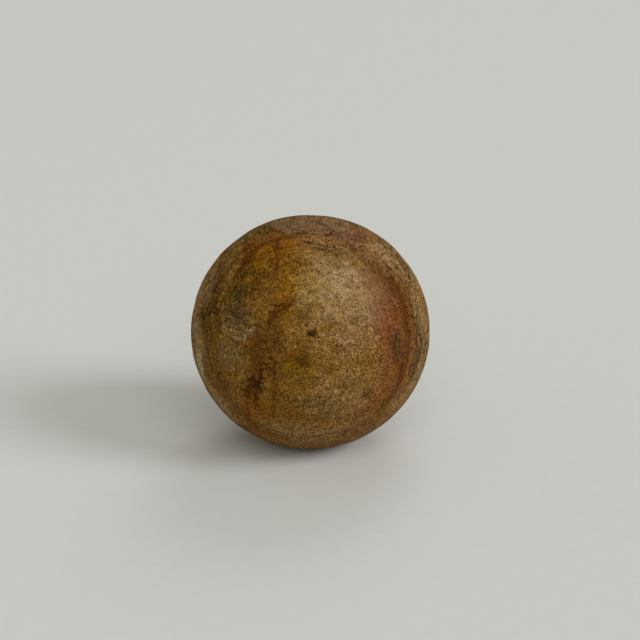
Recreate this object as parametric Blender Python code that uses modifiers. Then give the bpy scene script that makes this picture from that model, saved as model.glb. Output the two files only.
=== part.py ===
"""A small solid wooden medicine ball, turned from one block of hardwood.

The ball is one real piece: no cover, filling, seam or fastener. It is a very slightly flattened
sphere with a round flat on top and another underneath, which keeps it from rolling away. Age has
opened a few drying checks and left dents and gouges in its surface.

Frame: metres, +Z up along the axis it was turned about. The origin is the middle of the resting
flat. The front, with the pith eye, faces -Y.
"""

import math

import bmesh
import bpy
from mathutils import Vector

# ---- driving dimensions (metres, degrees) ----

EQUATOR_DIAMETER = 0.140        # widest part of the ball
POLAR_DIAMETER = 0.1372         # height the ball would have without its two flats
REST_FLAT_DIAMETER = 0.030      # pared flat the ball stands on
TOP_FLAT_DIAMETER = 0.030       # matching flat on top
EDGE_WEAR = 0.0015              # width worn off the edge around each flat

CHECK_WIDTH = 0.0014            # mouth of a drying check at its widest
GOUGE_WIDTH = 0.0032            # mouth of the gouge on the left of the front
DENT_RADIUS = 0.016             # roundness of what struck the ball
DENT_DEPTH = 0.0005             # how far it was pushed in

TURNED_STEPS = 72               # facets around the axis
PROFILE_STEPS = 36              # facets from flat to flat
EDGE_ANGLE = 9                  # edges sharper than this are worn; facets meet at 5 or less
CHECK_RISE = 0.00015            # a groove cutter's centre line stands this far above the wood
POINT_SHARE = 0.15              # thickness of a groove cutter's ends, as a share of its middle
DENT_FACETS = 40                # facets around a dent cutter
WELD_DISTANCE = 0.000001        # points closer than this are one

# Drying checks: each is a line of (azimuth, latitude) seen from the ball's centre. Azimuth 0 is
# the front and grows towards +X. Latitude is the height above the equator.
CHECKS = {
    "rim_check": [(-29, 69.4), (-12, 69.8), (5, 69.4), (21, 67.9), (28, 69.6)],
    "shoulder_check": [(-9, 63.4), (2, 62.3), (12, 60.6), (23, 57.9)],
    "right_check": [(56, 17.3), (60, 15.6), (65, 11.6)],
    "right_long_check": [(59.5, 12.0), (58.4, 7.0), (57.0, 1.0)],
}
GOUGE = [(-37.0, 10.4), (-32.0, 11.6), (-29.0, 15.4), (-25.0, 19.6)]
DENTS = {
    "front_dent": (7, 34.0),
    "left_dent": (-39, 17.0),
    "lower_dent": (-27, -12.0),
    "back_dent": (156, 24.0),
    "back_low_dent": (-128, -14.0),
}

# ---- sizes worked out from them ----

EQUATOR_RADIUS = EQUATOR_DIAMETER / 2
POLAR_RADIUS = POLAR_DIAMETER / 2


def flat_height(flat_diameter):
    """Height of a flat above the ball's centre, where the ellipse is as wide as the flat."""
    share = flat_diameter / EQUATOR_DIAMETER
    return POLAR_RADIUS * math.sqrt(1 - share * share)


CENTRE_HEIGHT = flat_height(REST_FLAT_DIAMETER)
BALL_HEIGHT = CENTRE_HEIGHT + flat_height(TOP_FLAT_DIAMETER)


def surface_point(azimuth, latitude, lift=0.0):
    """Point on the ball in a direction from its centre, moved out by lift.

    With d the unit direction, the point is c + d / sqrt(dx2/a2 + dy2/a2 + dz2/b2), cut off at
    the heights of the flats.
    """
    turn = math.radians(azimuth)
    rise = math.radians(latitude)
    direction = Vector((math.sin(turn) * math.cos(rise), -math.cos(turn) * math.cos(rise), math.sin(rise)))
    flat_share = (direction.x ** 2 + direction.y ** 2) / EQUATOR_RADIUS ** 2
    reach = 1 / math.sqrt(flat_share + direction.z ** 2 / POLAR_RADIUS ** 2)
    if direction.z > 0:
        reach = min(reach, flat_height(TOP_FLAT_DIAMETER) / direction.z)
    elif direction.z < 0:
        reach = min(reach, CENTRE_HEIGHT / -direction.z)
    return Vector((0, 0, CENTRE_HEIGHT)) + direction * (reach + lift)


# ---- scene ----


def clear_scene():
    for obj in list(bpy.data.objects):
        bpy.data.objects.remove(obj, do_unlink=True)


def new_collection(name):
    collection = bpy.data.collections.new(name)
    bpy.context.scene.collection.children.link(collection)
    return collection


def add_object(name, data, collection):
    obj = bpy.data.objects.new(name, data)
    collection.objects.link(obj)
    return obj


def waxed_hardwood():
    """Old brown hardwood with a thin, uneven wax polish."""
    material = bpy.data.materials.new("waxed_hardwood")
    material.use_nodes = True
    shader = material.node_tree.nodes["Principled BSDF"]
    shader.inputs["Base Color"].default_value = (0.140, 0.068, 0.020, 1.0)
    shader.inputs["Roughness"].default_value = 0.55
    shader.inputs["Metallic"].default_value = 0.0
    return material


# ---- the ball ----


def ball_profile():
    """Half outline in the XZ plane: middle of the top flat, out, down the side, and back in.

    The upper and the lower half each take half of the steps, so a facet edge always lies on the
    equator and the ball keeps its full width when one flat is larger than the other.
    """
    half = PROFILE_STEPS // 2
    top_angle = math.acos(TOP_FLAT_DIAMETER / EQUATOR_DIAMETER)
    rest_angle = math.acos(REST_FLAT_DIAMETER / EQUATOR_DIAMETER)
    angles = [top_angle * (1 - step / half) for step in range(half)]
    angles += [-rest_angle * step / half for step in range(half + 1)]
    outer = [
        Vector((EQUATOR_RADIUS * math.cos(angle), 0, CENTRE_HEIGHT + POLAR_RADIUS * math.sin(angle)))
        for angle in angles
    ]
    return [Vector((0, 0, BALL_HEIGHT)), *outer, Vector((0, 0, 0))]


def turned_ball(collection):
    """The profile turned once around Z, with the edge of each flat worn round."""
    points = ball_profile()
    mesh = bpy.data.meshes.new("turned_ball")
    edges = [(step, step + 1) for step in range(len(points) - 1)]
    mesh.from_pydata(points, edges, [])
    ball = add_object("turned_ball", mesh, collection)
    mesh.materials.append(waxed_hardwood())

    turning = ball.modifiers.new("turning", "SCREW")
    turning.axis = "Z"
    turning.angle = math.tau
    turning.steps = TURNED_STEPS
    turning.render_steps = TURNED_STEPS
    turning.use_merge_vertices = True
    turning.merge_threshold = WELD_DISTANCE
    turning.use_smooth_shade = True

    wear = ball.modifiers.new("edge_wear", "BEVEL")
    wear.width = EDGE_WEAR
    wear.segments = 3
    wear.limit_method = "ANGLE"
    wear.angle_limit = math.radians(EDGE_ANGLE)
    return ball


# ---- checks, gouge and dents ----


def groove_cutter(name, line, width, collection):
    """A round rod bent along the surface, thickest in the middle and nearly pointed at both ends.

    Its thickness follows sin(pi t) from one end to the other, so the cut runs out.
    """
    curve = bpy.data.curves.new(name, "CURVE")
    curve.dimensions = "3D"
    curve.bevel_depth = width / 2
    curve.bevel_resolution = 1
    curve.use_fill_caps = True
    spline = curve.splines.new("POLY")
    stations = refine(line)
    spline.points.add(len(stations) - 1)
    for index, (azimuth, latitude) in enumerate(stations):
        share = index / (len(stations) - 1)
        place = surface_point(azimuth, latitude, CHECK_RISE)
        spline.points[index].co = (*place, 1)
        spline.points[index].radius = POINT_SHARE + (1 - POINT_SHARE) * math.sin(math.pi * share)
    rod = add_object(name + "_rod", curve, collection)
    bpy.context.view_layer.update()

    graph = bpy.context.evaluated_depsgraph_get()
    mesh = bpy.data.meshes.new_from_object(rod.evaluated_get(graph))
    bpy.data.objects.remove(rod, do_unlink=True)
    weld(mesh)
    return as_cutter(add_object(name, mesh, collection))


def refine(line, parts=4):
    """The same line with extra points evenly between each two."""
    stations = []
    for (azimuth_a, latitude_a), (azimuth_b, latitude_b) in zip(line, line[1:]):
        for part in range(parts):
            share = part / parts
            stations.append((
                azimuth_a + (azimuth_b - azimuth_a) * share,
                latitude_a + (latitude_b - latitude_a) * share,
            ))
    stations.append(line[-1])
    return stations


def weld(mesh):
    work = bmesh.new()
    work.from_mesh(mesh)
    bmesh.ops.remove_doubles(work, verts=work.verts, dist=WELD_DISTANCE)
    bmesh.ops.recalc_face_normals(work, faces=work.faces)
    work.to_mesh(mesh)
    work.free()


def dent_cutter(name, azimuth, latitude, collection):
    """A ball that dips DENT_DEPTH into the wood."""
    mesh = bpy.data.meshes.new(name)
    work = bmesh.new()
    bmesh.ops.create_uvsphere(
        work, u_segments=DENT_FACETS, v_segments=DENT_FACETS // 2, radius=DENT_RADIUS
    )
    work.to_mesh(mesh)
    work.free()
    cutter = add_object(name, mesh, collection)
    cutter.location = surface_point(azimuth, latitude, DENT_RADIUS - DENT_DEPTH)
    return as_cutter(cutter)


def as_cutter(obj):
    obj.hide_render = True
    obj.display_type = "WIRE"
    return obj


def cut(target, cutter):
    boolean = target.modifiers.new(cutter.name, "BOOLEAN")
    boolean.operation = "DIFFERENCE"
    boolean.solver = "EXACT"
    boolean.object = cutter


def main():
    clear_scene()
    parts = new_collection("medicine_ball")
    cutters = new_collection("cutters")
    ball = turned_ball(parts)
    for name, line in CHECKS.items():
        cut(ball, groove_cutter(name, line, CHECK_WIDTH, cutters))
    cut(ball, groove_cutter("gouge", GOUGE, GOUGE_WIDTH, cutters))
    for name, (azimuth, latitude) in DENTS.items():
        cut(ball, dent_cutter(name, azimuth, latitude, cutters))


main()
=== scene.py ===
# %% [markdown]
# # A solid wooden medicine ball
#
# The object is one block of hardwood, turned round and pared flat at its two ends. It is old: the
# wax has worn unevenly, hands have stained it, and drying has opened a few checks. So there is one
# piece to make here, and all of the work goes into its skin. The lesson makes the ball as one
# surface worked out with numpy, wears and cracks it, stains it one wash at a time, and then gives
# it a material with pores and figure too fine for the mesh.
#
# The frame comes first. It is the measured model of the ball, and the ball's width, height and
# place are read from it. The marks on the skin have sizes and places of their own.

# %% Load the frame
import math

import bpy
import numpy as np
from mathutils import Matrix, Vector


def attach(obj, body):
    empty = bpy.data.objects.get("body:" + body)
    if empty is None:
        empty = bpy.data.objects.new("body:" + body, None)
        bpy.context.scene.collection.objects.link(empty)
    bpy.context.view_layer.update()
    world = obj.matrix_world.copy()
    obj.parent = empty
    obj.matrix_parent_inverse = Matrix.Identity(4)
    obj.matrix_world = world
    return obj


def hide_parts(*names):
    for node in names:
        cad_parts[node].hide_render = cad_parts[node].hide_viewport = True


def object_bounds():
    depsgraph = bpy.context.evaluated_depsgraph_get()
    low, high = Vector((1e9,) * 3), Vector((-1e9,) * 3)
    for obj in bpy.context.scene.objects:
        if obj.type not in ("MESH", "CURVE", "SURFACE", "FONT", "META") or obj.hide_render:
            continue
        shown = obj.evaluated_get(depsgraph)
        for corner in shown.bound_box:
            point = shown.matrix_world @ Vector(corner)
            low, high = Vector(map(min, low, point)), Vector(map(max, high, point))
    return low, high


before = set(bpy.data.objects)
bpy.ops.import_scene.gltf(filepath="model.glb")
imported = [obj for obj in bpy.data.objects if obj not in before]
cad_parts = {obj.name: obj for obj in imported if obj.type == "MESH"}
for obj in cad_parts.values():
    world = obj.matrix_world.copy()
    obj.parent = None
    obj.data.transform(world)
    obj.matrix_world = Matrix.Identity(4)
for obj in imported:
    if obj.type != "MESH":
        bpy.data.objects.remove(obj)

cad_low, cad_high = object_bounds()
MM = 0.001

equator_radius = (cad_high.x - cad_low.x) / 2
half_height = (cad_high.z - cad_low.z) / 2
centre = np.array((cad_low + cad_high) / 2)
print(f"ball {2 * equator_radius / MM:.1f} mm wide, {2 * half_height / MM:.1f} mm high")

# %% [markdown]
# ## The turned shape
#
# Before its ends were pared, the ball was an ellipse turned about a vertical axis, two parts in a
# hundred lower than wide. A place on it is named by two angles, as on a globe: azimuth, which is 0
# at the front (-Y) and grows towards +X, and latitude, the height above the equator seen from the
# centre. The surface is therefore a function of two parameters, and the two flats are planes that
# cut it. A smooth minimum joins them, which also wears the edges round.
#
# The alternative is a sphere primitive, but its rings are evenly spaced. Here they crowd together
# where the checks and the figure need them: at the front and around the top.

# %% A grid of directions
POLAR_SHARE = 0.98
COLUMNS = 400
ROWS = 236

polar_radius = equator_radius * POLAR_SHARE


def crowded(count, low, high, crowds):
    """Values from low to high, one more than count, closer together near each crowd.

    The density is 1 + sum of extra * exp(-((t - middle) / spread)^2) over the crowds, and the
    values are where its running total reaches even shares.
    """
    fine = np.linspace(low, high, 4001)
    density = np.ones_like(fine)
    for middle, spread, extra in crowds:
        density += extra * np.exp(-((fine - middle) / spread) ** 2)
    total = np.concatenate([[0], np.cumsum((density[1:] + density[:-1]) / 2)])
    return np.interp(np.linspace(0, total[-1], count + 1), total, fine)


azimuths = crowded(COLUMNS, -180, 180, [(0, 60, 2.2)])[:-1]
latitudes = crowded(ROWS + 1, -90, 90, [(20, 50, 0.8), (64, 8, 1.6)])[1:-1]
print(f"columns every {np.diff(azimuths).min():.2f} to {np.diff(azimuths).max():.2f} degrees")


def direction_to(azimuth, latitude):
    """Unit vector (sin a cos l, -cos a cos l, sin l) from the centre, for angles in degrees."""
    turn, rise = np.radians(azimuth), np.radians(latitude)
    level = np.cos(rise)
    return np.stack([np.sin(turn) * level, -np.cos(turn) * level, np.sin(rise)], axis=-1)


grid_azimuth, grid_latitude = np.meshgrid(azimuths, latitudes)
directions = np.vstack([
    direction_to(grid_azimuth.ravel(), grid_latitude.ravel()),
    [[0, 0, -1], [0, 0, 1]],
])

# %% The ball before age touched it
EDGE_WEAR = 0.5 * MM


def smooth_minimum(first, second, blend):
    """The smaller of two numbers, rounded off where they come within blend of each other."""
    share = np.clip(0.5 + 0.5 * (second - first) / blend, 0, 1)
    return second * (1 - share) + first * share - blend * share * (1 - share)


def turned_reach(direction):
    """Distance from the centre to the turned surface.

    The ellipse is 1 / sqrt(d_xy^2 / a^2 + d_z^2 / b^2) and a flat is h / |d_z|.
    """
    level = direction[..., 0] ** 2 + direction[..., 1] ** 2
    upright = direction[..., 2] ** 2
    ellipse = 1 / np.sqrt(level / equator_radius ** 2 + upright / polar_radius ** 2)
    flat = half_height / np.sqrt(np.maximum(upright, 1e-6))
    return smooth_minimum(ellipse, flat, EDGE_WEAR)


reach = turned_reach(directions)
skin = directions * reach[:, None]
print(f"{len(skin)} places on the skin")
print(f"{reach.min() / MM:.2f} to {reach.max() / MM:.2f} mm from the centre")

# %% [markdown]
# ## Marks on the skin
#
# Everything that happened to the ball happened at a place. Two helpers measure how far each point
# of the skin is from such a place: one around a point, for dents and stains, and one beside a line,
# for checks and gouges. A third makes smooth random ripples, so that no edge is drawn with a ruler.
# They work on all points at once, as arrays.

# %% Random ripples
def ripples(wavelength, seed, waves=36, stretch=(1, 1, 1)):
    """Smooth random field over the skin, about -2 to 2 with a spread of 1.

    It is sqrt(2 / n) * sum of cos(k_i . p + phase_i), n waves in random directions. A stretch
    along an axis makes the ripples that many times longer along it.
    """
    random = np.random.default_rng(seed)
    headings = random.normal(size=(waves, 3))
    headings /= np.linalg.norm(headings, axis=1, keepdims=True)
    lengths = wavelength * random.uniform(0.7, 1.4, waves)
    phases = random.uniform(0, 2 * np.pi, waves)
    places = skin / np.array(stretch)
    angles = places @ (headings * (2 * np.pi / lengths)[:, None]).T + phases
    return np.sqrt(2 / waves) * np.cos(angles).sum(axis=1)


def smooth_step(value, start, end):
    """0 before start, 1 after end, and 3 t^2 - 2 t^3 between them."""
    share = np.clip((value - start) / (end - start), 0, 1)
    return share * share * (3 - 2 * share)


# %% Measuring from a mark
FAR_AWAY = 1.0


def skin_point(azimuth, latitude):
    """The point of the turned surface in a direction: the unit vector times its reach."""
    direction = direction_to(azimuth, latitude)
    return direction * turned_reach(direction)[..., None]


def around(azimuth, latitude, tilt=0):
    """How far right of a place and above it each point is, in metres, the pair turned by tilt."""
    turn, rise, roll = np.radians([azimuth, latitude, tilt])
    right = np.array([np.cos(turn), np.sin(turn), 0])
    up = np.array([-np.sin(turn) * np.sin(rise), np.cos(turn) * np.sin(rise), np.cos(rise)])
    offset = skin - skin_point(azimuth, latitude)
    across, along = offset @ right, offset @ up
    far_side = directions @ direction_to(azimuth, latitude) < 0.2
    across = np.where(far_side, FAR_AWAY, across)
    rolled_across = across * np.cos(roll) + along * np.sin(roll)
    return rolled_across, along * np.cos(roll) - across * np.sin(roll)


def beside(line, wobble=0.0, seed=0):
    """Signed distance of each point from a line on the skin, and its share of the way along.

    Each stretch of the line takes the points nearest to it. The distance is positive on the
    line's left. The wobble, in metres, makes the line wander.
    """
    steps = np.linspace(0, len(line) - 1, 6 * (len(line) - 1) + 1)
    bend_azimuths, bend_latitudes = np.array(line).T
    bends = np.arange(len(line))
    knots = skin_point(
        np.interp(steps, bends, bend_azimuths),
        np.interp(steps, bends, bend_latitudes),
    )
    nearest = np.full(len(skin), FAR_AWAY)
    signed = np.full(len(skin), FAR_AWAY)
    share = np.zeros(len(skin))
    for index, (start, end) in enumerate(zip(knots, knots[1:])):
        run = end - start
        part = np.clip((skin - start) @ run / (run @ run), 0, 1)
        gap = skin - (start + part[:, None] * run)
        distance = np.linalg.norm(gap, axis=1)
        nearer = distance < nearest
        nearest = np.where(nearer, distance, nearest)
        signed = np.where(nearer, distance * np.sign(gap @ np.cross(start, run)), signed)
        share = np.where(nearer, (index + part) / (len(knots) - 1), share)
    if wobble:
        signed = signed + wobble * ripples(3.5 * MM, seed)
    return signed, share


# %% [markdown]
# ## Wear, dents and checks as real relief
#
# Age took wood away and never added any, so each mark is a depth to take off the turned reach.
# That also keeps the ball inside the frame's box. A dent is a bowl that fades as (1 - r^2)^2. A
# check is a narrow groove that runs out at both ends, and wood beside a check often sinks on one
# side only, so most of them have a step. Bump alone would do for these from the front, but a check
# at the edge of the ball has to break the outline, so they are in the mesh.

# %% Dents
def dent(azimuth, latitude, width, height, depth, tilt=0):
    """A bowl depth * (1 - r^2)^2 inside the ellipse r < 1 of the given half sizes."""
    across, along = around(azimuth, latitude, tilt)
    reach_squared = (across / width) ** 2 + (along / height) ** 2
    return depth * np.clip(1 - reach_squared, 0, 1) ** 2


DENTS = [
    # azimuth, latitude, half width and half height in mm, depth in mm, tilt
    (7, 32.5, 8.0, 7.0, 0.55, 20),       # bruise under the pale crown
    (-38, 17, 8.5, 6.0, 0.60, -15),      # grey bruise on the left
    (-27, -12, 6.0, 7.0, 0.45, 10),      # stained hollow, lower left
    (-52, 34, 12.0, 9.0, 0.35, 40),
    (42, 6, 9.0, 10.0, 0.35, 0),
    (22, -28, 14.0, 9.0, 0.35, 15),
    (-6, 66, 10.0, 3.0, 0.50, 0),        # chipped strip between the two top checks
    (32, 67, 9.0, 4.0, 0.30, -10),
    (66, -30, 10.0, 8.0, 0.40, 0),
    (156, 24, 10.0, 9.0, 0.60, 30),
    (-128, -14, 12.0, 8.0, 0.50, -30),
    (110, 48, 9.0, 8.0, 0.40, 0),
    (-155, 42, 8.0, 11.0, 0.45, 15),
]
PITH_EYE = (0.7, 16.4)
BACK_EYE = (179, 6)

wear = 0.10 * MM * (1.5 + ripples(34 * MM, seed=11)).clip(0)
wear += 0.05 * MM * (1.5 + ripples(13 * MM, seed=12)).clip(0)
for azimuth, latitude, width, height, depth, tilt in DENTS:
    wear += dent(azimuth, latitude, width * MM, height * MM, depth * MM, tilt)
wear += dent(*PITH_EYE, 2.4 * MM, 1.8 * MM, 0.40 * MM)
wear += dent(*BACK_EYE, 2.2 * MM, 1.8 * MM, 0.40 * MM)

# %% Small knocks all over
KNOCKS = 90

knocks = np.random.default_rng(21)
knock_azimuths = knocks.uniform(-180, 180, KNOCKS)
knock_latitudes = np.degrees(np.arcsin(knocks.uniform(-0.9, 0.9, KNOCKS)))
knock_sizes = knocks.uniform(0.8, 2.4, KNOCKS) * MM
knock_tilts = knocks.uniform(0, 180, KNOCKS)
for azimuth, latitude, size, tilt in zip(knock_azimuths, knock_latitudes, knock_sizes, knock_tilts):
    wear += dent(azimuth, latitude, size, 0.6 * size, 0.10 * size, tilt)

# %% Checks and the gouge
def check(line, width, depth, step=0.0, seed=1, fade=3 * MM):
    """A drying crack: depth * exp(-(s / width)^2) * taper, plus a step that fades on its left.

    s is the distance from the line, and the taper is sin(pi t)^0.6 along it.
    """
    signed, share = beside(line, wobble=0.22 * MM, seed=seed)
    taper = np.sin(np.pi * np.clip(share, 0, 1)) ** 0.6
    crack = np.exp(-((signed / width) ** 2)) * taper
    sunk = np.where(signed > 0, np.exp(-np.clip(signed, 0, 1) / fade), 0) * taper
    return depth * crack + step * sunk, crack


CHECKS = {
    # name: line of (azimuth, latitude), half width, depth and step in mm
    "rim": (
        [(-30, 69.3), (-12, 69.8), (5, 69.4), (21, 67.8), (27, 69.3), (36, 71.8)],
        0.50, 1.1, 0.35,
    ),
    "shoulder_left": ([(-12, 64.4), (-7, 63.3), (-2, 62.4), (3, 61.9)], 0.32, 0.45, 0.10),
    "shoulder": ([(8, 61.3), (14, 59.8), (24, 57.6)], 0.40, 0.8, 0.20),
    "right": ([(55, 17.6), (59, 16.6), (61, 14.8), (65, 11.6)], 0.38, 0.8, 0.12),
    "right_long": ([(60.5, 26), (59.8, 15), (58.8, 7), (57.2, 0.5)], 0.30, 0.5, 0.0),
    "right_edge": ([(72, 12), (71, 4), (67, -6), (63, -12)], 0.34, 0.6, 0.10),
    "right_upper": ([(56, 44), (60, 37), (62, 30)], 0.30, 0.4, 0.0),
    "lower_right": ([(24, -15.2), (27, -14.0), (29.5, -11.5)], 0.26, 0.25, 0.05),
    "left_short": ([(-62, 19.5), (-58, 18.2), (-56.5, 16)], 0.40, 0.5, 0.05),
    "back_long": ([(150, 58), (158, 44), (163, 31)], 0.60, 1.0, 0.20),
    "back_short": ([(-140, 22), (-133, 14), (-130, 4)], 0.55, 0.8, 0.15),
    "under": ([(-60, -60), (-20, -66), (25, -64)], 0.55, 0.8, 0.15),
}
GOUGE = [(-37.0, 10.4), (-32.0, 11.6), (-29.0, 15.4), (-25.0, 19.6)]

crack_dirt = np.zeros(len(skin))
for index, (line, width, depth, step) in enumerate(CHECKS.values()):
    relief, crack = check(line, width * MM, depth * MM, step * MM, seed=30 + index)
    wear += relief
    crack_dirt = np.maximum(crack_dirt, crack)

gouge_relief, gouge_mask = check(GOUGE, 1.1 * MM, 0.50 * MM, 0.20 * MM, seed=50)
wear += gouge_relief
print(f"wear up to {wear.max() / MM:.2f} mm")

# %% [markdown]
# ## Staining the wood
#
# The colours of old wood come in layers: the timber's own rings, then stains and polish, then
# grime in hollows and pale scuffs on what stands proud. The same order works here. Each layer is a
# wash, which mixes a paint into the colour of each point through a soft, ragged mask. A few washes
# paint light instead of the wood's colour: a sheen painted into the pale left rim, a highlight on
# the gouge's pale scuff, and the highlight and shade on the two edges of a small crease. The ragged
# edge comes from ripples added to the distance, so a patch never looks like an ellipse. A texture
# picture would be the usual way, but washes need no picture, fit the skin in every view, and stay
# easy to change.

# %% Paints
def paint(red, green, blue):
    """A colour card value, 0 to 255, as the linear light that the renderer works in."""
    card = np.array([red, green, blue]) / 255
    return np.where(card <= 0.04045, card / 12.92, ((card + 0.055) / 1.055) ** 2.4)


PAINTS = {
    "wood": paint(118, 81, 26),
    "gold": paint(138, 102, 46),
    "straw": paint(152, 120, 66),
    "amber": paint(130, 82, 8),
    "orange": paint(144, 97, 38),
    "olive": paint(108, 77, 2),
    "dark_olive": paint(66, 45, 0),
    "tan": paint(150, 118, 72),
    "sand": paint(134, 104, 62),
    "pale": paint(172, 148, 108),
    # Pale scuff colour. On the gouge it is also a painted highlight.
    "scuff_and_highlight": paint(158, 134, 102),
    "pink": paint(136, 96, 62),
    "rust": paint(112, 60, 0),
    "red": paint(94, 47, 8),
    "brick": paint(115, 65, 27),
    "grey": paint(126, 104, 68),
    "ash": paint(126, 95, 62),
    "moss": paint(70, 57, 18),
    "smoke": paint(68, 38, 0),
    "soot": paint(62, 42, 22),
    "maroon": paint(50, 16, 4),
    "dirt": paint(38, 18, 0),
}


def wash(tone, name, mask):
    """Mixes a paint into the tone: tone + (paint - tone) * mask."""
    return tone + (PAINTS[name] - tone) * np.clip(mask, 0, 1)[:, None]


# %% [markdown]
# ### Rings of the log
#
# The ball was turned from a log whose heart ran from front to back, a little above the ball's
# middle. Its growth rings are tubes round that line. At the front and the back they show as
# circles, on the two sides as long flames. A place in the log is named by its distance from the
# heart and its clock angle round it, and a ring's colour follows it right through the ball.

# %% Polar places in the log
HEART_HEIGHT = 9 * MM

heart_distance = np.hypot(skin[:, 0], skin[:, 2] - HEART_HEIGHT)
heart_distance = heart_distance + 1.6 * MM * ripples(26 * MM, seed=71, stretch=(1, 3, 1))
heart_angle = np.degrees(np.arctan2(skin[:, 2] - HEART_HEIGHT, skin[:, 0]))
print(f"the skin cuts the log {heart_distance.max() / MM:.0f} mm from its heart at the most")

# %% Ragged edges
raggedness = 0.6 * ripples(11 * MM, seed=61) + 0.4 * ripples(4.5 * MM, seed=62)
fine_raggedness = 0.6 * ripples(3.6 * MM, seed=63) + 0.4 * ripples(1.8 * MM, seed=64)
mottle = 0.5 * ripples(5 * MM, seed=65, waves=60) + 0.5 * ripples(2.6 * MM, seed=66, waves=60)
print(f"raggedness {raggedness.min():.2f} to {raggedness.max():.2f}")

# %% Shapes of a wash
def ring(radius, width, angle, reach_angle):
    """1 on a part of a ring, fading across it and towards the ends of its arc.

    It is exp(-((r - radius) / width)^2) times a soft window round the clock angle, which is 0
    on the right and 90 at the top.
    """
    away = np.abs((heart_angle - angle + 180) % 360 - 180) + 6 * raggedness
    arc = 1 - smooth_step(away, 0.6 * reach_angle, 1.15 * reach_angle)
    return np.exp(-(((heart_distance - radius * MM) / (width * MM)) ** 2)) * arc


def patch(azimuth, latitude, width, height, tilt=0, soft=0.55, ragged=0.22):
    """1 inside a ragged ellipse and 0 outside; the edge spreads by soft times its size each way."""
    across, along = around(azimuth, latitude, tilt)
    ellipse = np.hypot(across / (width * MM), along / (height * MM))
    edge = raggedness if min(width, height) > 6 else fine_raggedness
    return 1 - smooth_step(ellipse + ragged * edge, 1 - soft, 1 + soft)


def stroke(line, width, soft=0.6, ragged=0.35):
    """1 on a line, 0 away from it; its width shrinks to the ends as 0.25 + 0.75 sin(pi t)^0.5."""
    signed, share = beside(line)
    taper = np.sin(np.pi * np.clip(share, 0.02, 0.98)) ** 0.5
    away = np.abs(signed) / (width * MM * (0.25 + 0.75 * taper))
    edge = raggedness if width > 3 else fine_raggedness
    return 1 - smooth_step(away + ragged * edge, 1 - soft, 1 + soft)


# %% First mottling, all the way round
tone = np.tile(PAINTS["wood"], (len(skin), 1))
tone = wash(tone, "olive", 0.45 * smooth_step(ripples(40 * MM, seed=72), -0.4, 1.4))
tone = wash(tone, "gold", 0.45 * smooth_step(ripples(26 * MM, seed=73), 0.0, 1.6))
tone = wash(tone, "rust", 0.35 * smooth_step(ripples(22 * MM, seed=74), 0.6, 2.0))

# %% Rings that took colour
COLOURED_RINGS = [
    # paint, radius and width in mm, clock angle, half of its arc, strength
    ("pink", 45, 8, 18, 50, 0.50),
    ("brick", 46, 9, -28, 52, 0.85),
    ("brick", 49, 4, 14, 24, 0.55),
    ("red", 54.5, 2.8, 10, 54, 0.85),
    ("red", 50.5, 1.2, 28, 20, 0.50),
    ("brick", 58, 3.0, 20, 60, 0.45),
    ("tan", 64, 4.0, 10, 60, 0.60),
    ("soot", 61.5, 1.6, -14, 14, 0.75),
    ("soot", 61.5, 1.2, 36, 12, 0.55),
    ("soot", 64.5, 0.7, 6, 26, 0.55),
    ("smoke", 59.3, 0.6, 10, 30, 0.45),
    ("olive", 55, 9, 150, 38, 0.60),
    ("dark_olive", 58.5, 1.3, 150, 26, 0.75),
    ("dark_olive", 54.8, 0.8, 146, 20, 0.60),
    ("gold", 56.6, 0.8, 150, 24, 0.50),
    ("dark_olive", 51.6, 0.8, 140, 16, 0.55),
    ("gold", 53.2, 0.7, 140, 20, 0.45),
    ("smoke", 61.0, 0.9, 168, 24, 0.50),
    ("tan", 66, 3.0, 165, 60, 0.50),
]
for name, radius, width, angle, reach_angle, strength in COLOURED_RINGS:
    tone = wash(tone, name, strength * ring(radius, width, angle, reach_angle))

# %% Plain growth rings
# Wet and dry years, one value for every few millimetres of the log's radius, make dark and light
# bands. They show most where the skin cuts the rings at a slant, away from the heart.
RING_STEP = 2.4 * MM

years = np.random.default_rng(75).normal(size=60)
bands = np.interp(heart_distance / RING_STEP, np.arange(len(years)), years)
band_share = smooth_step(heart_distance, 30 * MM, 46 * MM)
tone = wash(tone, "smoke", 0.36 * smooth_step(bands, 0.2, 1.6) * band_share)
tone = wash(tone, "gold", 0.45 * smooth_step(-bands, 0.2, 1.6) * band_share)
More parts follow.
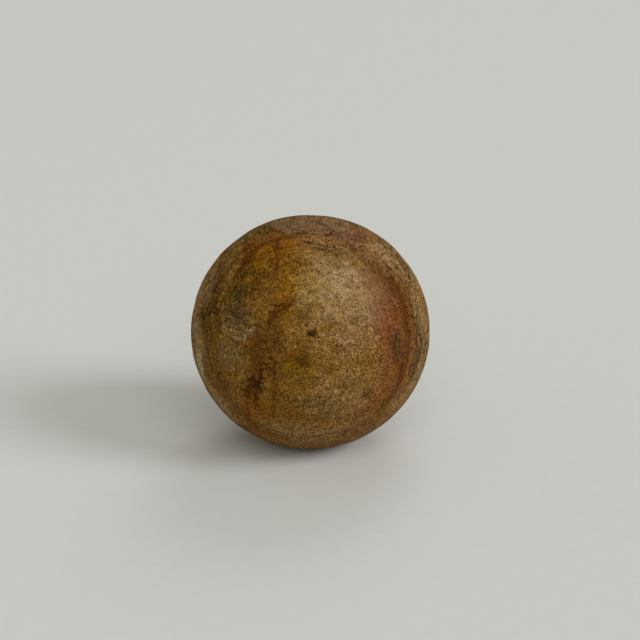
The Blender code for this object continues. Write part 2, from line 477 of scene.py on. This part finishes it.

# %% Washes of the front, with a painted sheen along the left rim
FRONT_PATCHES = [
    # paint, azimuth, latitude, half width and half height in mm, tilt, strength
    ("amber", -32, 57, 20, 12, 20, 0.80),
    ("amber", -12, 38, 6, 18, 5, 0.60),
    ("rust", -54, 52, 7, 10, 25, 0.70),
    ("gold", 0, 46, 8, 13, 0, 0.60),
    ("straw", 4, 37, 10, 12, 0, 0.50),
    ("tan", 14, 35, 7, 5, 0, 0.40),
    ("tan", 14, 10, 18, 12, 0, 0.25),
    ("tan", 18, 30, 17, 17, 0, 0.70),
    ("pale", 17, 42, 11, 12, -10, 0.42),
    ("pink", 38, 32, 7, 17, -5, 0.40),
    ("orange", 6, 65.5, 14, 3.2, 0, 0.60),
    ("rust", 42, 66, 10, 4.5, -20, 0.65),
    ("rust", -42, 62, 10, 6.0, 10, 0.45),
    ("gold", -57, 60, 7, 5, 20, 0.35),
    ("tan", 10, 56, 14, 8, 0, 0.35),
    ("brick", 42, 57, 5, 8, -35, 0.45),
    ("brick", 40, 20, 9, 12, 0, 0.60),
    ("tan", 65, 43, 10, 13, 0, 0.65),
    ("tan", 50, 53, 9, 7, -30, 0.30),
    ("olive", -2, 2, 15, 8, 0, 0.45),
    ("gold", 14, -12, 17, 9, 0, 0.40),
    ("olive", 8, -23, 12, 5, 0, 0.45),
    ("sand", 14, -14, 20, 18, 0, 0.45),
    ("moss", 8, -24, 7, 3.5, 0, 0.35),
    ("gold", -6, -36, 22, 10, 0, 0.60),
    ("sand", 6, -38, 26, 11, 0, 0.50),
    ("gold", -4, -48, 26, 5, 0, 0.55),
    ("smoke", -16, 13, 4.5, 8, 0, 0.50),
    ("smoke", -16, 1, 5, 6, 0, 0.35),
    ("smoke", -20, 15, 7, 8, 0, 0.25),
    ("moss", 6, -17, 10, 4, 0, 0.45),
    ("rust", -36, -37, 14, 6, -30, 0.50),
    ("amber", -28, -21, 12, 9, 0, 0.60),
    ("gold", -47, -33, 7, 5, -30, 0.50),
    ("amber", -24, -44, 12, 4, -20, 0.40),
    ("grey", -37, 19, 10, 9, -10, 0.60),
    ("gold", -53, 34, 3.2, 9, 8, 0.60),
    ("gold", -54, 43, 3.2, 8, 12, 0.50),
    ("smoke", -71, 41, 3.2, 8, 15, 0.60),
    ("smoke", -61, 33, 3.6, 6, 10, 0.60),
    ("smoke", -45, 44, 3.0, 9, 8, 0.45),
    ("moss", -40, 31, 5.0, 6.0, 0, 0.85),
    ("soot", -38, 22, 9, 4.5, 0, 0.60),
    ("smoke", -24, 6, 5.5, 15, 0, 0.65),
    ("grey", -40, 3, 9, 8, 0, 0.45),
    # Painted sheen: these two lighten the lower left rim, pale wood with the grazing reflection
    # painted into it.
    ("tan", -66, -4, 7, 14, 0, 0.75),
    ("pale", -66, -8, 5, 9, 0, 0.60),
    ("straw", -55, -28, 8, 12, -20, 0.70),
    ("olive", -50, 0, 4, 14, 0, 0.50),
    # Painted sheen: the next three lighten the left rim up to its top, golden wood with the grazing
    # reflection painted into it.
    ("gold", -80, 18, 10, 34, 0, 0.75),
    ("gold", -74, 13, 5, 10, 0, 0.40),
    ("gold", -72, 50, 6, 14, 30, 0.70),
    ("soot", 43, 6, 4.5, 9, 0, 0.70),
    ("pink", 22, 12, 9, 18, 0, 0.35),
    ("orange", -57, 37, 7, 13, 0, 0.35),
    ("orange", -69, 4, 4, 14, 0, 0.40),
    ("orange", -57, -22, 5, 8, 0, 0.30),
    ("orange", -46, -34, 7, 5, 0, 0.50),
    ("brick", 26, -40, 14, 7, 20, 0.40),
]
for name, azimuth, latitude, width, height, tilt, strength in FRONT_PATCHES:
    tone = wash(tone, name, strength * patch(azimuth, latitude, width, height, tilt))

# %% Washes of the sides, the back and underneath
OTHER_PATCHES = [
    # paint, azimuth, latitude, half width and half height in mm, tilt, strength
    ("tan", 168, 26, 24, 18, 15, 0.70),
    ("pale", 176, 34, 13, 11, 20, 0.55),
    ("amber", 140, 40, 14, 16, -25, 0.65),
    ("rust", -152, 34, 9, 18, 20, 0.75),
    ("straw", -168, -14, 16, 12, 0, 0.55),
    ("brick", 146, -18, 13, 18, 10, 0.65),
    ("gold", 176, -38, 26, 11, 0, 0.70),
    ("smoke", -128, -14, 8, 9, -30, 0.65),
    ("maroon", -127, -15, 3, 4, -30, 0.60),
    ("grey", -118, 24, 12, 9, 20, 0.60),
    ("tan", -124, 2, 12, 20, 10, 0.55),
    ("amber", -96, 46, 15, 10, 0, 0.65),
    ("tan", -96, -8, 15, 20, 0, 0.50),
    ("dark_olive", -104, 12, 4, 9, 30, 0.50),
    ("straw", 96, 20, 17, 13, 15, 0.50),
    ("rust", 108, 48, 10, 8, 0, 0.60),
    ("brick", 84, -30, 18, 9, 10, 0.50),
    ("smoke", 112, -4, 4, 7, 20, 0.50),
    ("grey", 124, 14, 9, 12, 0, 0.45),
    ("rust", -70, -42, 15, 8, 0, 0.50),
    ("gold", 60, -52, 18, 9, 0, 0.50),
    ("dirt", *BACK_EYE, 2.4, 1.9, 0, 0.80),
    ("dark_olive", -174, -4, 4, 4, 0, 0.50),
    ("smoke", 156, 20, 4, 3, 0, 0.55),
    ("smoke", -160, 56, 6, 4, 0, 0.45),
]
for name, azimuth, latitude, width, height, tilt, strength in OTHER_PATCHES:
    tone = wash(tone, name, strength * patch(azimuth, latitude, width, height, tilt))

# %% Drips, small stains, and a crease's painted highlight and shade on the front
DRIPS_AND_CREASE_SHADING = [
    # paint, line of (azimuth, latitude), half width in mm, strength
    ("red", [(-36, 64.5), (-27, 55), (-23, 46), (-21, 40)], 1.6, 0.80),
    ("red", [(-9, 31), (-14, 28), (-18, 24), (-19.5, 20)], 2.8, 0.70),
    ("smoke", [(-9, 31), (-14, 28), (-18, 24), (-19.5, 20)], 2.2, 0.45),
    ("smoke", [(-30, 44), (-31, 36), (-33, 30)], 2.4, 0.50),
    # Painted highlight and painted shade: the straw line is the lit edge of a small Λ-shaped
    # crease, and the olive line below it is its shaded edge.
    ("straw", [(2, 37.2), (9, 40.0), (15.5, 33.5)], 1.4, 0.75),
    ("olive", [(-2, 34.2), (3, 36.0), (7.6, 37.6), (14.5, 31.8)], 1.0, 0.60),
    ("smoke", [(-80, 68.6), (-50, 69.4), (-32, 69.2)], 1.1, 0.60),
    ("smoke", [(36, 71.0), (52, 69.0), (72, 68.0)], 1.3, 0.60),
    ("smoke", [(-14, 64.6), (-6, 63.2), (2, 62.0), (12, 60.3), (24, 57.4)], 0.8, 0.45),
    ("dirt", [(3, 59.0), (10, 57.6), (22, 54.6), (28, 54.0)], 1.4, 0.40),
    ("maroon", [(-22, 2), (-24, -8), (-28, -22)], 1.6, 0.55),
    ("red", [(-29, -6), (-31, -18), (-35, -30)], 1.8, 0.55),
    ("smoke", [(-16, 4), (-17, -14), (-20, -30)], 1.6, 0.40),
]
SPOTS = [
    # paint, azimuth, latitude, half width and half height in mm, strength
    ("maroon", -25.5, -8, 4.4, 4.6, 0.85),
    ("smoke", -29.0, -12.5, 5.5, 6.0, 0.60),
    ("smoke", -62.5, 15.4, 2.4, 2.0, 0.85),
    ("smoke", -52.5, 21, 2.4, 2.2, 0.75),
    ("smoke", -62, 29, 2.4, 3.4, 0.60),
    ("smoke", -47.7, 15.3, 2.4, 2.0, 0.60),
    ("dirt", *PITH_EYE, 2.5, 1.9, 0.85),
    ("dark_olive", -4, 5.5, 4.4, 3.8, 0.60),
    ("dark_olive", 13, 9, 4.0, 3.0, 0.40),
    ("dark_olive", 18, -8, 4.2, 3.2, 0.45),
    ("dark_olive", 27, -13, 3.6, 4.0, 0.35),
    ("dark_olive", -4, 24, 3.6, 4.6, 0.45),
    ("moss", 21, 21, 2.8, 2.8, 0.55),
    ("moss", 26, 14, 2.0, 2.4, 0.40),
    ("soot", 56, 41, 3.0, 2.4, 0.55),
    ("soot", 66, 39, 2.4, 2.4, 0.55),
    ("dark_olive", 37, 56, 3.2, 2.6, 0.50),
]
for name, line, width, strength in DRIPS_AND_CREASE_SHADING:
    tone = wash(tone, name, strength * stroke(line, width))
for name, azimuth, latitude, width, height, strength in SPOTS:
    tone = wash(tone, name, strength * patch(azimuth, latitude, width, height, ragged=0.3))

# %% Fine scratches over the grey bruise
SCRATCHES = 16

scratches = np.random.default_rng(91)
for _ in range(SCRATCHES):
    start = scratches.uniform((-56, 11), (-38, 25))
    end = start + scratches.uniform((7, -3.5), (16, 1.5))
    scratch_paint = scratches.choice(["tan", "smoke"])
    tone = wash(tone, scratch_paint, 0.50 * stroke([start, end], 0.5))

# %% Grime, scuffs, the gouge's painted highlight and the dull top
DISC_EDGE = 69.5
MOTTLE_STRENGTH = 0.15

skin_latitude = np.degrees(np.arcsin(directions[:, 2]))
disc_depth = skin_latitude - DISC_EDGE + 0.9 * fine_raggedness + 0.7 * raggedness
disc_rim = np.exp(-((disc_depth / 0.9) ** 2)) * (0.5 + 0.5 * raggedness)
disc_stain = smooth_step(disc_depth, 0, 3) * smooth_step(ripples(9 * MM, seed=93), 0.3, 1.6)
disc_scuff = smooth_step(disc_depth, 2, 6) * smooth_step(ripples(14 * MM, seed=94), 0.0, 1.5)

tone = wash(tone, "smoke", 0.45 * disc_rim)
tone = wash(tone, "ash", 0.85 * smooth_step(disc_depth, -0.9, 0.9))
tone = wash(tone, "smoke", 0.35 * disc_stain)
tone = wash(tone, "tan", 0.40 * disc_scuff)
tone = wash(tone, "dirt", 0.95 * np.clip(1.8 * crack_dirt, 0, 1))
# The gouge is painted pale: a scuff, and the painted highlight that its lit edge catches.
tone = wash(tone, "scuff_and_highlight", 0.70 * smooth_step(gouge_mask + 0.10 * fine_raggedness, 0.20, 0.9))
tone = tone * (1 + MOTTLE_STRENGTH * mottle)[:, None]
print(f"tone of the skin {np.round(tone.mean(axis=0), 3)}")

# %% [markdown]
# ## What the material needs to know
#
# Some of the wood's fine detail differs from place to place. Vessels are cut across at the front,
# where they are open black dots, and the left side was rubbed so often that its pores are filled.
# The wax is left where nobody held the ball. Such differences are stored as plain numbers on the
# mesh's points, next to the tone, and the material reads them by name.

# %% Numbers for the material
open_share = 0.55 + 0.45 * patch(14, 20, 34, 34) - 0.25 * patch(-50, 20, 26, 40)
open_share = open_share + 0.12 * ripples(12 * MM, seed=81) + 0.4 * patch(16, 56, 12, 3.5)
line_share = 0.15 + 0.85 * smooth_step(heart_distance, 34 * MM, 54 * MM)
wax_share = 0.25 + 0.60 * patch(30, 45, 34, 30) + 0.18 * ripples(18 * MM, seed=82)
wax_share = wax_share * (1 - smooth_step(skin_latitude, DISC_EDGE - 2, DISC_EDGE + 1))
grain_share = 0.78 - 0.33 * patch(24, 40, 24, 22) - 0.22 * ring(50, 9, 0, 55)
grain_share = grain_share + 0.06 * smooth_step(-skin_latitude, -10, 30)
grain_share = grain_share - 0.20 * patch(-30, 62, 26, 9)
grain_share = grain_share * (1 - 0.5 * smooth_step(skin_latitude, DISC_EDGE - 1, DISC_EDGE + 1))
SHARES = {
    "open_pores": open_share,
    "ring_lines": line_share,
    "wax_left": wax_share,
    "grain": grain_share,
}

# %% [markdown]
# ## A material for detail finer than the mesh
#
# Three effects make the fine detail of the wood. Each is a node group with named inputs, so it can
# be used again at another scale: vessels appear twice, as wide and as narrow pores, and the grit
# appears on the wood and on the paper the ball stands on. They read Object coordinates, so the
# pattern runs through the block as real grain does. Vessels run along the log, from front to back,
# so their pattern is stretched along Y: it shows dots at the two ends and dashes on the sides.

# %% Helpers for nodes
def add_node(tree, kind, settings, inputs):
    """A new node; its inputs are given by name or number, as values or as other sockets."""
    node = tree.nodes.new(kind)
    for name, value in settings.items():
        setattr(node, name, value)
    for name, value in inputs.items():
        if isinstance(value, bpy.types.NodeSocket):
            tree.links.new(value, node.inputs[name])
        else:
            node.inputs[name].default_value = value
    return node


def calculate(tree, operation, *values):
    """The result of a Math node on up to three values or sockets."""
    node = add_node(tree, "ShaderNodeMath", {"operation": operation}, dict(enumerate(values)))
    return node.outputs[0]


def remap(tree, value, start, end, low=0.0, high=1.0):
    """Smooth step of a value from start to end, put out as low to high."""
    settings = {"interpolation_type": "SMOOTHSTEP"}
    inputs = {"Value": value, "From Min": start, "From Max": end, "To Min": low, "To Max": high}
    return add_node(tree, "ShaderNodeMapRange", settings, inputs).outputs["Result"]


def blend(tree, amount, first, second):
    """Two colours mixed: first * (1 - amount) + second * amount."""
    node = add_node(tree, "ShaderNodeMix", {"data_type": "RGBA"}, {"Factor": amount})
    for name, value in (("A", first), ("B", second)):
        socket = next(item for item in node.inputs if item.name == name and item.type == "RGBA")
        if isinstance(value, bpy.types.NodeSocket):
            tree.links.new(value, socket)
        else:
            socket.default_value = (*value, 1)
    return next(item for item in node.outputs if item.type == "RGBA")


def new_group(name, inputs, outputs):
    """A shader node group with named float inputs after Position; gives its tree and two ends."""
    tree = bpy.data.node_groups.new(name, "ShaderNodeTree")
    tree.interface.new_socket("Position", in_out="INPUT", socket_type="NodeSocketVector")
    for label, value in inputs.items():
        socket = tree.interface.new_socket(label, in_out="INPUT", socket_type="NodeSocketFloat")
        socket.default_value = value
    for label in outputs:
        tree.interface.new_socket(label, in_out="OUTPUT", socket_type="NodeSocketFloat")
    return tree, tree.nodes.new("NodeGroupInput").outputs, tree.nodes.new("NodeGroupOutput").inputs


# %% Pores
# A vessel is a cell of a Voronoi pattern whose centre is nearer than a random radius. The share
# says how many of the cells hold an open vessel. Spacing and Radius are in metres.
PORE_INPUTS = {"Spacing": 2.0 * MM, "Radius": 0.4 * MM, "Share": 0.6}

pores, given, result = new_group("open pores", PORE_INPUTS, ["Pore"])
cells = add_node(pores, "ShaderNodeTexVoronoi", {"voronoi_dimensions": "3D", "feature": "F1"}, {
    "Vector": given["Position"],
    "Scale": calculate(pores, "DIVIDE", 1.0, given["Spacing"]),
    "Randomness": 1.0,
})
chance = add_node(pores, "ShaderNodeSeparateColor", {}, {"Color": cells.outputs["Color"]}).outputs
cell_radius = calculate(pores, "DIVIDE", given["Radius"], given["Spacing"])
size_share = calculate(pores, "MULTIPLY_ADD", chance["Red"], 0.9, 0.5)
radius = calculate(pores, "MULTIPLY", cell_radius, size_share)
core = calculate(pores, "MULTIPLY", radius, 0.55)
inside = remap(pores, cells.outputs["Distance"], core, radius, 1.0, 0.0)
is_open = calculate(pores, "LESS_THAN", chance["Green"], given["Share"])
pores.links.new(calculate(pores, "MULTIPLY", inside, is_open), result["Pore"])

# %% Grit
# Fractal noise about zero, from -1 to 1. Size is the length of its largest grains in metres.
grit, given, result = new_group("grit", {"Size": 0.002, "Contrast": 4.0, "Detail": 3.0}, ["Value"])
noise = add_node(grit, "ShaderNodeTexNoise", {"noise_dimensions": "3D"}, {
    "Vector": given["Position"],
    "Scale": calculate(grit, "DIVIDE", 1.0, given["Size"]),
    "Detail": given["Detail"],
    "Roughness": 0.6,
})
centred = calculate(grit, "SUBTRACT", noise.outputs["Fac"], 0.5)
spread = calculate(grit, "MULTIPLY", centred, given["Contrast"])
limited = calculate(grit, "MAXIMUM", -1.0, calculate(grit, "MINIMUM", 1.0, spread))
grit.links.new(limited, result["Value"])

# %% Ring lines
# Noise in one dimension along the distance from the heart line, which wavers slowly from place to
# place. Spacing is the usual width of a growth ring in metres.
rings, given, result = new_group("ring lines", {"Spacing": 0.003, "Waver": 0.003}, ["Line"])
axes = add_node(rings, "ShaderNodeSeparateXYZ", {}, {"Vector": given["Position"]}).outputs
across_log = calculate(rings, "ADD", calculate(rings, "MULTIPLY", axes["X"], axes["X"]),
                       calculate(rings, "MULTIPLY", axes["Z"], axes["Z"]))
drift = add_node(rings, "ShaderNodeTexNoise", {}, {
    "Vector": given["Position"],
    "Scale": 45.0,
    "Detail": 2.0,
})
drift_from_middle = calculate(rings, "SUBTRACT", drift.outputs["Fac"], 0.5)
waver = calculate(rings, "MULTIPLY", drift_from_middle, given["Waver"])
log_radius = calculate(rings, "MULTIPLY_ADD", waver, 4.0, calculate(rings, "SQRT", across_log))
year_noise = add_node(rings, "ShaderNodeTexNoise", {"noise_dimensions": "1D"}, {
    "W": calculate(rings, "DIVIDE", log_radius, given["Spacing"]),
    "Scale": 1.0,
    "Detail": 2.0,
    "Roughness": 0.6,
})
rings.links.new(remap(rings, year_noise.outputs["Fac"], 0.50, 0.68), result["Line"])
print("groups", [group.name for group in bpy.data.node_groups])

# %% Waxed hardwood
material = bpy.data.materials.new("waxed_hardwood")
material.use_nodes = True
tree = material.node_tree
shader = tree.nodes["Principled BSDF"]


def use_group(tree, group, position, **inputs):
    """A placed node group with its inputs given by name; gives its first output."""
    settings = {"node_tree": group}
    return add_node(tree, "ShaderNodeGroup", settings, {"Position": position, **inputs}).outputs[0]


def stored(tree, name, output="Fac"):
    """A number or colour kept on the mesh's points."""
    return add_node(tree, "ShaderNodeAttribute", {"attribute_name": name}, {}).outputs[output]


def stretched(tree, position, share):
    """A place whose Y counts for less, so that a pattern on it is longer along the log."""
    mapping = {"Vector": position, "Scale": (1, share, 1)}
    return add_node(tree, "ShaderNodeMapping", {}, mapping).outputs[0]


TO_HEART = (0, 0, -(centre[2] + HEART_HEIGHT))
ALONG_GRAIN = 0.22
ALONG_FIBRE = 0.09

place = add_node(tree, "ShaderNodeTexCoord", {}, {}).outputs["Object"]
log_place = add_node(tree, "ShaderNodeMapping", {}, {
    "Vector": place,
    "Location": TO_HEART,
}).outputs[0]
along_grain = stretched(tree, log_place, ALONG_GRAIN)
along_fibre = stretched(tree, log_place, ALONG_FIBRE)

# %% Detail of the wood
# The noise that frays the pores shifts each place by a few tenths of a millimetre, so that no pore
# is a neat disc.
FRAY_SCALE = 1400.0
FRAY_SHIFT = (1.4 * MM, 0.0, 1.4 * MM)

fray_noise = {"Vector": log_place, "Scale": FRAY_SCALE, "Detail": 1.0}
fray = add_node(tree, "ShaderNodeTexNoise", {}, fray_noise)
shift = add_node(tree, "ShaderNodeVectorMath", {"operation": "SUBTRACT"},
                 {0: fray.outputs["Color"], 1: (0.5, 0.5, 0.5)}).outputs[0]
frayed = add_node(tree, "ShaderNodeVectorMath", {"operation": "MULTIPLY_ADD"},
                  {0: shift, 1: FRAY_SHIFT, 2: along_grain}).outputs[0]
open_pores = stored(tree, "open_pores")
coarse_grit = use_group(tree, grit, log_place, Size=2.6 * MM, Contrast=4.0)
fine_grit = use_group(tree, grit, along_fibre, Size=0.80 * MM, Contrast=4.5, Detail=1.0)
wide_pore = use_group(tree, pores, frayed, Spacing=1.2 * MM, Radius=0.33 * MM, Share=open_pores)
narrow_pore = use_group(tree, pores, frayed, Spacing=0.75 * MM, Radius=0.25 * MM, Share=0.85)
ring_line = calculate(tree, "MULTIPLY", stored(tree, "ring_lines"),
                      use_group(tree, rings, log_place, Spacing=1.6 * MM, Waver=2.5 * MM))

# %% Colour of the wood
# Old oil makes the darker flecks redder too, so green and blue fall faster than red.
SHADE_POWERS = (1.0, 1.2, 1.8)
FLECK = 0.36
GRAIN = 0.94
MIDDLE_SHADE = 1.06
LINE_SHADE = -0.34
DARKEST_SHADE = 0.2
PORE_COLOUR = tuple(paint(44, 22, 0))

fine_flecks = calculate(tree, "MULTIPLY", fine_grit, GRAIN)
flecks = calculate(tree, "MULTIPLY_ADD", coarse_grit, FLECK, fine_flecks)
shade = calculate(tree, "MULTIPLY_ADD", flecks, stored(tree, "grain"), MIDDLE_SHADE)
shade = calculate(tree, "MULTIPLY_ADD", ring_line, LINE_SHADE, shade)
shade = calculate(tree, "MAXIMUM", shade, DARKEST_SHADE)
shades = add_node(tree, "ShaderNodeCombineXYZ", {}, {
    index: calculate(tree, "POWER", shade, power) for index, power in enumerate(SHADE_POWERS)
}).outputs[0]
colour = add_node(tree, "ShaderNodeVectorMath", {"operation": "MULTIPLY"},
                  {0: stored(tree, "tone", "Color"), 1: shades}).outputs[0]
narrow_share = calculate(tree, "MULTIPLY_ADD", open_pores, 0.35, 0.22)
colour = blend(tree, calculate(tree, "MULTIPLY", narrow_pore, narrow_share), colour, PORE_COLOUR)
colour = blend(tree, calculate(tree, "MULTIPLY", wide_pore, 0.85), colour, PORE_COLOUR)
tree.links.new(colour, shader.inputs["Base Color"])

# %% Sheen of the wood
wax = stored(tree, "wax_left")
dull = calculate(tree, "MULTIPLY_ADD", coarse_grit, 0.06, 0.62)
dull = calculate(tree, "MULTIPLY_ADD", wax, -0.16, dull)
tree.links.new(calculate(tree, "MULTIPLY_ADD", wide_pore, 0.2, dull), shader.inputs["Roughness"])
shader.inputs["Specular IOR Level"].default_value = 0.04
tree.links.new(calculate(tree, "MULTIPLY", wax, 0.10), shader.inputs["Coat Weight"])
shader.inputs["Coat Roughness"].default_value = 0.38

# %% Relief too fine for the mesh
BUMP_DEPTH = 0.3 * MM

rise = calculate(tree, "MULTIPLY_ADD", wide_pore, -1.0, 1.0)
rise = calculate(tree, "MULTIPLY_ADD", narrow_pore, -0.45, rise)
rise = calculate(tree, "MULTIPLY_ADD", coarse_grit, 0.18, rise)
rise = calculate(tree, "MULTIPLY_ADD", ring_line, -0.18, rise)
bump_inputs = {"Height": rise, "Strength": 0.8, "Distance": BUMP_DEPTH}
bump = add_node(tree, "ShaderNodeBump", {}, bump_inputs)
tree.links.new(bump.outputs["Normal"], shader.inputs["Normal"])
print(f"{len(tree.nodes)} nodes in {material.name}")

# %% [markdown]
# ## The mesh
#
# The grid's rows become rings of four-sided faces, the last column meets the first, and a fan of
# triangles closes each pole. The faces are index arrays, wound so that they look outwards.

# %% Faces
def ring_faces(rows, columns):
    """Quads between neighbouring rings, wrapped round, as an array of four indices each."""
    row, column = np.meshgrid(np.arange(rows - 1), np.arange(columns), indexing="ij")
    after = (column + 1) % columns
    corners = [row * columns + column, row * columns + after]
    corners += [(row + 1) * columns + after, (row + 1) * columns + column]
    return np.stack([corner.ravel() for corner in corners], axis=1)


def pole_faces(rows, columns):
    """A fan of triangles at the bottom pole and one at the top."""
    column = np.arange(columns)
    after = (column + 1) % columns
    bottom, top = rows * columns, rows * columns + 1
    last = (rows - 1) * columns
    under = np.stack([after, column, np.full(columns, bottom)], axis=1)
    over = np.stack([last + column, last + after, np.full(columns, top)], axis=1)
    return np.vstack([under, over])


# %% Mesh of the ball
# The sole is planed level again after the wear, so that the ball still stands on its rest flat.
SOLE_START, SOLE_FULL = 0.4 * MM, 0.1 * MM

worn = directions * (reach - wear)[:, None]
on_sole = smooth_step(-skin[:, 2], half_height - SOLE_START, half_height - SOLE_FULL)
worn[:, 2] += on_sole * (-half_height - worn[:, 2])

mesh = bpy.data.meshes.new("turned_ball_skin")
faces = ring_faces(len(latitudes), COLUMNS).tolist() + pole_faces(len(latitudes), COLUMNS).tolist()
mesh.from_pydata(worn + centre, [], faces)
mesh.polygons.foreach_set("use_smooth", np.ones(len(mesh.polygons), dtype=bool))
tone_layer = mesh.color_attributes.new("tone", "FLOAT_COLOR", "POINT")
tone_layer.data.foreach_set("color", np.column_stack([tone, np.ones(len(tone))]).ravel())
for name, values in SHARES.items():
    layer = mesh.attributes.new(name, "FLOAT", "POINT")
    layer.data.foreach_set("value", np.clip(values, 0, 1))
mesh.update()
mesh.materials.append(material)

ball = bpy.data.objects.new("turned_ball_skin", mesh)
bpy.context.scene.collection.objects.link(ball)
triangles = sum(len(face.vertices) - 2 for face in mesh.polygons)
print(f"ball skin: {len(mesh.vertices)} points, {triangles} triangles")

# %% Its place in the frame
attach(ball, "root")
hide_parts("turned_ball")

# %% [markdown]
# ## Floor, light and camera
#
# The ball stands on a wide disc of pale paper, under a pale studio sky. The light is a wide window
# on the right, a weaker one behind, and a broad fill from the front. Large light angles keep every
# shadow soft. The sky that is seen is paler than the sky that lights the ball, so that the backdrop
# and the ball's shaded side can be set apart. The camera looks down a little, as somebody would who
# stands a step away.

# %% Floor
FLOOR_RADIUS = 9.0
FLOOR_CORNERS = 96
PAPER_COLOURS = (0.730, 0.735, 0.715), (0.760, 0.765, 0.745)

floor_angles = np.linspace(0, 2 * np.pi, FLOOR_CORNERS, endpoint=False)
rim = np.stack([np.cos(floor_angles), np.sin(floor_angles), 0 * floor_angles], axis=1)
floor_mesh = bpy.data.meshes.new("floor")
floor_mesh.from_pydata(rim * FLOOR_RADIUS, [], [list(range(FLOOR_CORNERS))])
floor = bpy.data.objects.new("floor", floor_mesh)
bpy.context.scene.collection.objects.link(floor)
paper = bpy.data.materials.new("pale_paper")
paper.use_nodes = True
paper_shader = paper.node_tree.nodes["Principled BSDF"]
paper_place = add_node(paper.node_tree, "ShaderNodeTexCoord", {}, {}).outputs["Object"]
paper_grit = use_group(paper.node_tree, grit, paper_place, Size=7 * MM, Contrast=3.0)
paper_blend = calculate(paper.node_tree, "MULTIPLY_ADD", paper_grit, 0.5, 0.5)
paper_colour = blend(paper.node_tree, paper_blend, *PAPER_COLOURS)
paper.node_tree.links.new(paper_colour, paper_shader.inputs["Base Color"])
paper_shader.inputs["Roughness"].default_value = 0.9
paper_shader.inputs["Specular IOR Level"].default_value = 0.1
floor_mesh.materials.append(paper)

# %% Light
SKY_LIGHT = (0.258, 0.252, 0.216)
SKY_SEEN = (0.565, 0.570, 0.545)
LIGHTS = [
    # name, azimuth, height, strength, angle in degrees, colour
    ("window", 68, 30, 1.40, 26, (0.99, 1.0, 1.04)),
    ("back_window", 165, 42, 0.50, 30, (0.99, 1.0, 1.04)),
    ("fill", 8, 36, 1.00, 50, (1.0, 1.0, 0.98)),
]

world = bpy.data.worlds.new("studio")
world.use_nodes = True
ray = add_node(world.node_tree, "ShaderNodeLightPath", {}, {})
sky = blend(world.node_tree, ray.outputs["Is Camera Ray"], SKY_LIGHT, SKY_SEEN)
world.node_tree.links.new(sky, world.node_tree.nodes["Background"].inputs["Color"])
bpy.context.scene.world = world
for name, azimuth, height_angle, strength, angle, light_colour in LIGHTS:
    light_data = bpy.data.lights.new(name, "SUN")
    light_data.energy = strength
    light_data.color = light_colour
    light_data.angle = math.radians(angle)
    light = bpy.data.objects.new(name, light_data)
    towards_light = Vector(direction_to(azimuth, height_angle))
    light.rotation_euler = towards_light.to_track_quat("Z", "Y").to_euler()
    bpy.context.scene.collection.objects.link(light)

# %% Camera
CAMERA_DISTANCE = 0.70
CAMERA_RISE = 17.5
AIM_RIGHT, AIM_UP = 5.64 * MM, 6.75 * MM
SENSOR_WIDTH, LENS = 36, 67.05
FARTHEST_SEEN = 40

camera_data = bpy.data.cameras.new("camera")
camera_data.sensor_width = SENSOR_WIDTH
camera_data.lens = LENS
camera_data.clip_end = FARTHEST_SEEN
camera = bpy.data.objects.new("camera", camera_data)
look_down = math.radians(CAMERA_RISE)
eye = Vector(centre) + Vector(direction_to(0, CAMERA_RISE)) * CAMERA_DISTANCE
aim_offset = Vector((AIM_RIGHT, math.sin(look_down) * AIM_UP, math.cos(look_down) * AIM_UP))
aim = Vector(centre) + aim_offset
camera.location = eye
camera.rotation_euler = (eye - aim).to_track_quat("Z", "Y").to_euler()
bpy.context.scene.collection.objects.link(camera)
bpy.context.scene.camera = camera
bpy.context.scene.view_settings.view_transform = "Standard"
